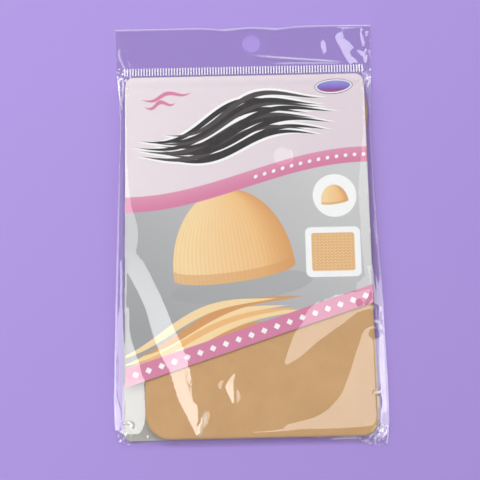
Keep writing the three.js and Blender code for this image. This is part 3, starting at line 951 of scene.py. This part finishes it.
def contents_height(x, y):
    """Height of the highest thing inside the bag over the points x and y, in metres, or 0 past its edge."""
    down = (card_high.y - y) / (card_high.y - card_low.y)
    back_x = np.abs(x - panel_middle - back_skew * down)
    on_back = (back_x < panel_width / 2) & (y > card_foot(x)) & (y < card_high.y)
    height = np.where(on_back, card_low.z + board, 0.0)
    for low, high in ((cap_low, cap_high), (hem_low, hem_high)):
        roundness = (high.z - low.z) / 2
        reach = hem_reach(y) if high is hem_high else 0.0
        past_x = np.maximum(low.x + roundness - x, x - high.x - reach + roundness)
        past_y = low.y + roundness - y
        past = np.clip(np.maximum(past_x, past_y) / roundness, 0.0, 1.0)
        top = (low.z + high.z) / 2 + roundness * np.sqrt(1 - past**2)
        inside = (x > low.x) & (x < high.x + reach) & (y > low.y) & (y < high.y)
        height = np.where(inside, np.maximum(height, top), height)
    slant = slant_left.y + (x - slant_left.x) * along_slant.y / along_slant.x
    on_front = (np.abs(x - panel_middle) < panel_width / 2) & (y > slant) & (y < card_high.y)
    rise = smooth_step(0.0, crease_reach, card_high.y - y)
    top = fold_level + board / 2 + (card_high.z - fold_level - board / 2) * rise
    return np.where(on_front, np.maximum(height, top), height)


def round_hole(x, y, hole):
    """Draws a square ring of the grid's points onto a round hole's rim, and tells which points are in it."""
    centre_x, centre_y, radius = hole
    gap = np.hypot(x - centre_x, y - centre_y)
    row, column = np.unravel_index(np.argmin(gap), gap.shape)
    rows, columns = np.indices(x.shape)
    across, along = columns - column, rows - row
    rings = round(radius / abs(y[row + 1, column] - y[row, column]))
    ring = np.maximum(np.abs(across), np.abs(along))
    length = np.hypot(across, along)
    reach = np.divide(ring * radius / rings, length, out=np.zeros(x.shape), where=length > 0)
    share = 1 - smooth_step(rings, 2.5 * rings, ring)
    round_x = x + share * (centre_x + across * reach - x)
    round_y = y + share * (centre_y + along * reach - y)
    return round_x, round_y, ring <= rings


# Places of the film's grid, from weld to weld and from the bottom fold to the header's edge. It is finest along
# the sides, the bottom and the header, where the film is crumpled.
half_width = 58.6
columns = uneven(-half_width, half_width, [(-45.0, 0.45), (42.0, 0.95), (half_width, 0.45)])
columns = (columns / half_width + 1) / 2
rows = uneven(bag_low.y / mm, bag_high.y / mm, [(-82.0, 0.5), (68.0, 0.95), (bag_high.y / mm, 0.42)]) * mm
film_cells = (len(columns) - 1, len(rows) - 1)
left_x = -np.interp(rows / mm, *zip(*left_weld)) * mm
right_x = np.interp(rows / mm, *zip(*right_weld)) * mm
grid_x = left_x[:, None] + (right_x - left_x)[:, None] * columns[None, :]
grid_y = np.repeat(rows[:, None], len(columns), axis=1)

# The bottom fold lies close under the card, and stands lower at its right ear. The ears' edges are crumpled.
bottom_fold = [
    (-58.6, 3.0), (-55, 2.4), (-50, 1.8), (-46, 1.2), (0, 1.3), (42, 1.3), (46, 0.5), (50, -0.6), (54, -1.3),
    (56.5, -1.2), (58.6, -0.4),
]
drawn_up = np.interp(grid_x / mm, *zip(*bottom_fold))
on_ear = smooth_step(46.0, 54.0, np.abs(grid_x) / mm)
crumple = waves(grid_x / mm, grid_x / mm * 0.3, 3.2, 3) * (0.12 + 0.4 * on_ear)
near_bottom = 1 - smooth_step(bag_low.y / mm, bag_low.y / mm + 6.0, grid_y / mm)
grid_y = grid_y + (drawn_up + crumple) * near_bottom * mm

hang_x, hang_y, in_hang = round_hole(grid_x, grid_y, hang_hole)
vent_x, vent_y, in_vent = round_hole(hang_x, hang_y, vent_hole)
x_mm, y_mm = vent_x / mm, vent_y / mm

side_gap = np.minimum(grid_x - left_x[:, None], right_x[:, None] - grid_x)
border = np.zeros(grid_x.shape, dtype=bool)
border[0, :] = border[-1, :] = True
border[:, 0] = border[:, -1] = True
in_weld = side_gap < weld_width
in_header = grid_y > seal_high_y
in_seal = (grid_y > seal_low_y) & ~in_header


def crease_height(x, y):
    """Height of the sharp creases over the points x and y, in millimetres."""
    height = np.zeros(x.shape)
    for path, rise, half in creases:
        distance, run = nearest_on_path(x, y, path)
        taper = np.clip(np.minimum(run, 1 - run) * 5, 0.0, 1.0)
        height = np.maximum(height, rise * taper * np.clip(1 - distance / half, 0.0, 1.0))
    return height


# Level of the two sheets' middle where they lie together: the header, the seal and the welds. The header is
# wavy, its right end is crumpled and its trimmed edge curls down. Heights are in millimetres.
lowest = 0.3
edge_curl = 0.4
up_header = smooth_step(seal_high_y, bag_high.y, grid_y)
weld_y, left_level, right_level = zip(*weld_levels)
raised_end = smooth_step(14.0, 38.0, x_mm) - smooth_step(39.0, 57.0, x_mm)
together = np.where(x_mm < 0, np.interp(y_mm, weld_y, left_level), np.interp(y_mm, weld_y, right_level))
together += up_header * (0.15 * waves(x_mm, y_mm * 1.4, 34.0, 11) + 0.7 * raised_end + 0.2)
together = np.maximum(together, lowest)
together = draw_tight(
    together, np.full(grid_x.shape, lowest), ~in_header | border, x_mm, y_mm, header_facets, 300
)
crumpled = smooth_step(53.5, 56.0, x_mm) * smooth_step(0.0, 0.1, up_header)
together += (in_header | in_seal) * crease_height(x_mm, y_mm)
together += in_header * 0.08 * crumpled * waves(x_mm, y_mm, 3.2, 21)
together -= edge_curl * smooth_step(bag_high.y - 1.3 * mm, bag_high.y, grid_y)
together = np.maximum(together, lowest)

# The front sheet, with streaks in its side strips, crumpled corners and a raised rim round the vent hole
rim_height = 0.14
rim_width = 0.9
contents = contents_height(vent_x, vent_y)
rest_on = np.where(contents > 0, contents + film_gap, 3 * sheet_gap) / mm
for outline, (at_x, at_y, height), (rise_x, rise_y) in bridges:
    bridge = height + (x_mm - at_x) * rise_x + (y_mm - at_y) * rise_y
    rest_on = np.where(facet_share(x_mm, y_mm, outline) > 0.5, np.maximum(rest_on, bridge), rest_on)
half_gap = sheet_gap / mm / 2
held = border | in_weld | in_header | in_seal
front = np.where(held, together + half_gap, np.maximum(rest_on, together))
front = draw_tight(front, rest_on, held, x_mm, y_mm, pouch_facets, 500)
strip = smooth_step(weld_width / mm, 2.0, side_gap / mm) * smooth_step(52.5, 54.5, np.abs(x_mm))
slack = 0.07 + 0.14 * smooth_step(10.0, 40.0, y_mm)
streaks = slack * strip * waves(x_mm, y_mm * 0.09, 3.6, 6)
at_ends = 1 - smooth_step(-89.0, -84.0, y_mm) + smooth_step(60.0, 66.0, y_mm)
corner = smooth_step(49.0, 54.0, np.abs(x_mm)) * at_ends
fold_crumple = 0.16 * (1 - smooth_step(-92.4, -90.8, y_mm))
from_vent = np.hypot(x_mm - vent_hole[0] / mm, y_mm - vent_hole[1] / mm) - vent_hole[2] / mm
vent_rim = rim_height * np.clip(1 - from_vent / rim_width, 0.0, 1.0)
relief = 0.035 * waves(x_mm, y_mm, 30.0, 5) + 0.035 + streaks
relief += (0.26 * corner + fold_crumple) * (waves(x_mm, y_mm, 2.6, 9) + 0.35 * waves(x_mm, y_mm, 1.4, 31))
relief += crease_height(x_mm, y_mm) + vent_rim
front = np.where(held, front, np.maximum(front + relief, rest_on)) * mm
together = together * mm

# The back sheet lies on the table under the card.
under = np.clip(0.25 + 0.08 * waves(x_mm, y_mm, 22.0, 8), 0.05, card_low.z / mm - 0.12)
under_card = (grid_x > card_low.x - 0.3 * mm) & (grid_x < card_high.x + 0.3 * mm) & (grid_y > card_low.y)
held = border | in_weld | in_header | in_seal | under_card
back = np.where(border | in_weld | in_header | in_seal, (together - sheet_gap / 2) / mm, under)
back = draw_tight(back, np.full(back.shape, 0.03), held, x_mm, y_mm, [], 300) * mm
back[border] = front[border]


# Sharp creases, the crumpled corners and the trimmed edge turn the film a little white.
whitened = np.clip(crease_height(x_mm, y_mm) / 0.2, 0.0, 1.0)
whitened = np.maximum(whitened, 0.6 * smooth_step(bag_high.y - 0.9 * mm, bag_high.y, grid_y))
worn = np.maximum(corner, smooth_step(30.0, 46.0, x_mm) * (1 - smooth_step(-91.4, -90.0, y_mm)))
worn[in_header] = 0.0
crinkles = np.clip(waves(x_mm, y_mm * 1.3, 1.9, 27) - 0.55, 0.0, 1.0)
whitened = np.maximum(whitened, 2.2 * worn * crinkles)


def film_sheet(name, x, y, z, hole):
    """One sheet of the bag from its grid of points, without the faces inside its hole."""
    deselect_all()
    bpy.ops.mesh.primitive_grid_add(x_subdivisions=film_cells[0], y_subdivisions=film_cells[1], size=1)
    piece = new_piece(name)
    points = np.empty(len(piece.data.vertices) * 3)
    piece.data.vertices.foreach_get("co", points)
    flat = points.reshape(-1, 3)
    column = np.rint((flat[:, 0] + 0.5) * film_cells[0]).astype(int)
    row = np.rint((flat[:, 1] + 0.5) * film_cells[1]).astype(int)
    placed = np.stack([x[row, column], y[row, column], z[row, column]], axis=1)
    piece.data.vertices.foreach_set("co", placed.ravel())
    piece.data.attributes.new("whitened", "FLOAT", "POINT").data.foreach_set("value", whitened[row, column])
    inside = hole[row, column]
    bpy.ops.object.mode_set(mode="EDIT")
    bpy.ops.mesh.select_mode(type="FACE")
    bpy.ops.mesh.select_all(action="DESELECT")
    shape = bmesh.from_edit_mesh(piece.data)
    for face in shape.faces:
        face.select_set(all(inside[vertex.index] for vertex in face.verts))
    bmesh.update_edit_mesh(piece.data)
    bpy.ops.mesh.delete(type="FACE")
    bpy.ops.object.mode_set(mode="OBJECT")
    return piece


front_sheet = film_sheet("clear_bag", vent_x, vent_y, front, in_hang | in_vent)
back_sheet = film_sheet("back_sheet", hang_x, hang_y, back, in_hang)
bpy.ops.object.mode_set(mode="EDIT")
bpy.ops.mesh.select_all(action="SELECT")
bpy.ops.mesh.flip_normals()
deselect_all()
front_sheet.select_set(True)
back_sheet.select_set(True)
bpy.context.view_layer.objects.active = front_sheet
bpy.ops.object.join()
bag = bpy.context.object
bpy.ops.object.mode_set(mode="EDIT")
bpy.ops.mesh.select_all(action="SELECT")
bpy.ops.mesh.remove_doubles(threshold=0.01 * mm)
bpy.ops.object.mode_set(mode="OBJECT")
bpy.ops.object.shade_smooth_by_angle(angle=math.radians(80))
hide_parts("film_bag")
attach(bag, "root")


mirror_least = 0.085  # what both faces of the film mirror, looked at straight on
mirror_growth = 0.5
crease_haze = 0.3


def film_material(name, roughness, milkiness):
    """Thin film: partly a mirror, the more so the flatter it is looked along, and partly a white haze."""
    material, tree, shader = new_material(name)
    facing = tree.nodes.new("ShaderNodeLayerWeight")
    facing.inputs["Blend"].default_value = 0.5
    steep = Reading(tree, facing.outputs["Facing"]).through("POWER", 5.0)
    mirror_share = steep.line(mirror_growth, mirror_least)
    crease = tree.nodes.new("ShaderNodeAttribute")
    crease.attribute_name = "whitened"
    haze = Reading(tree, crease.outputs["Fac"]).ramp(crease_haze, milkiness)
    solid_share = haze * mirror_share.line(-1.0, 1.0) + mirror_share
    grain = noise(tree, place_mm(tree)[0], 0.5)
    shader.inputs["Base Color"].default_value = (1.0, 1.0, 1.0, 1.0)
    shader.inputs["Roughness"].default_value = roughness
    join(tree, mirror_share / solid_share, shader.inputs["Metallic"])
    join(tree, solid_share, shader.inputs["Alpha"])
    join(tree, bump(tree, grain, 0.02 * mm, 0.3), shader.inputs["Normal"])
    return material


bag.data.materials.append(film_material("clear_film", 0.02, 0.0))


# Ribbed seal
# The weld that closes the pouch under the header: a row of short upright ribs, pressed by a hot bar.
rib_pitch = 1.25 * mm
rib_width = 0.6 * mm
rib_rise = 0.3 * mm
rib_margin = 3.6 * mm

deselect_all()
first_rib = left_x[rows.searchsorted(seal_low_y)] + rib_margin
rib_count = int((bag_high.x - 2.8 * mm - first_rib) / rib_pitch)
rib_middle_y = (seal_low_y + seal_high_y) / 2 - 0.2 * mm
bpy.ops.mesh.primitive_cube_add(size=1, location=(first_rib, rib_middle_y, rib_rise / 2))
bpy.context.object.scale = (rib_width, seal_high_y - seal_low_y, rib_rise)
ribs = new_piece("seal_ribs")
pick(ribs, "EDGE", lambda place: place.z > rib_rise * 0.9)
bpy.ops.mesh.bevel(offset=rib_rise * 0.7, segments=3, profile=0.5, affect="EDGES")
bpy.ops.object.mode_set(mode="OBJECT")
add_modifier(
    ribs, "ARRAY", count=rib_count, use_relative_offset=False, use_constant_offset=True,
    constant_offset_displace=(rib_pitch, 0.0, 0.0),
)
seal_row = rows.searchsorted((seal_low_y + seal_high_y) / 2)
for vertex in ribs.data.vertices:
    vertex.co.z += float(np.interp(vertex.co.x, vent_x[seal_row], front[seal_row])) + 0.02 * mm
bpy.ops.object.shade_smooth_by_angle(angle=math.radians(50))
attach(ribs, "root")
ribs.data.materials.append(film_material("pressed_film", 0.12, 0.4))


# Floor and light
# A plain pale lilac table under softboxes. The film mirrors most of them where it leans towards them, and the
# two that stand upright at the sides show in its steep sides. Three only fill the shadows and aren't mirrored.
# The sky is dark overhead, so flat film stays clear.
deselect_all()
bpy.ops.mesh.primitive_plane_add(size=6.0, location=(0.0, 0.0, -0.05 * mm))
floor = new_piece("floor")
floor_material, tree, shader = new_material("lilac_floor")
shader.inputs["Base Color"].default_value = colour(151, 129, 193)
shader.inputs["Roughness"].default_value = 0.6
shader.inputs["Specular IOR Level"].default_value = 0.2
floor.data.materials.append(floor_material)


def softbox(name, middle, size, facing, radiance):
    """A rectangular lamp in millimetres, turned by degrees. Radiance is its face's brightness."""
    lamp = bpy.data.lights.new(name, "AREA")
    lamp.shape = "RECTANGLE"
    lamp.size, lamp.size_y = size[0] * mm, size[1] * mm
    lamp.energy = radiance * math.pi * lamp.size * lamp.size_y
    holder = bpy.data.objects.new(name, lamp)
    bpy.context.scene.collection.objects.link(holder)
    holder.location = Vector(middle) * mm
    holder.rotation_euler = [math.radians(angle) for angle in facing]
    return holder


def fade(lamp, strong_until, weak_from, weakest):
    """Makes a lamp fade to a share of its strength, between two heights from its lower edge, from 0 to 1."""
    lamp.use_nodes = True
    tree = lamp.node_tree
    place = tree.nodes.new("ShaderNodeNewGeometry")
    split = tree.nodes.new("ShaderNodeSeparateXYZ")
    tree.links.new(place.outputs["Parametric"], split.inputs[0])
    strength = tree.nodes.new("ShaderNodeMapRange")
    strength.inputs["From Min"].default_value = strong_until
    strength.inputs["From Max"].default_value = weak_from
    strength.inputs["To Min"].default_value = 1.0
    strength.inputs["To Max"].default_value = weakest
    tree.links.new(split.outputs["Y"], strength.inputs["Value"])
    tree.links.new(strength.outputs["Result"], tree.nodes["Emission"].inputs["Strength"])


left_softbox = softbox("left_softbox", (-461, 60, 800), (578, 840), (0, 0, 0), 5.0)
fade(left_softbox.data, 0.31, 0.74, 0.23)
softbox("corner_softbox", (218, -98, 800), (170, 440), (0, 0, -45), 2.4)
softbox("right_softbox", (390, 154, 800), (370, 272), (0, 0, 0), 1.2)
softbox("upper_right_softbox", (390, 473, 800), (370, 366), (0, 0, 0), 2.05)
left_fill = softbox("left_fill", (-461, 60, 800), (578, 840), (0, 0, 0), 1.85)
left_fill.data.color = (0.8, 0.94, 1.0)
right_fill = softbox("right_fill", (390, 337, 800), (370, 636), (0, 0, 0), 2.8)
back_softbox = softbox("back_softbox", (-150, 670, 800), (800, 140), (0, 0, 0), 16.0)
for unmirrored in (left_fill, right_fill, back_softbox):
    unmirrored.visible_glossy = False
softbox("left_wall", (-1000, 150, 760), (700, 480), (90, 0, -90), 3.6)
softbox("right_wall", (1000, 25, 675), (310, 550), (90, 0, 90), 3.2)

world = bpy.data.worlds.new("soft_sky")
world.use_nodes = True
tree = world.node_tree
direction = tree.nodes.new("ShaderNodeTexCoord")
split = tree.nodes.new("ShaderNodeSeparateXYZ")
tree.links.new(direction.outputs["Generated"], split.inputs[0])
fall = tree.nodes.new("ShaderNodeMapRange")
fall.interpolation_type = "SMOOTHSTEP"
fall.inputs["From Min"].default_value = 0.35
fall.inputs["From Max"].default_value = 0.95
fall.inputs["To Min"].default_value = 0.4
fall.inputs["To Max"].default_value = 0.1
tree.links.new(split.outputs["Z"], fall.inputs["Value"])
tree.nodes["Background"].inputs["Color"].default_value = (1.0, 1.0, 1.0, 1.0)
tree.links.new(fall.outputs["Result"], tree.nodes["Background"].inputs["Strength"])
bpy.context.scene.world = world
bpy.context.scene.view_settings.view_transform = "Standard"
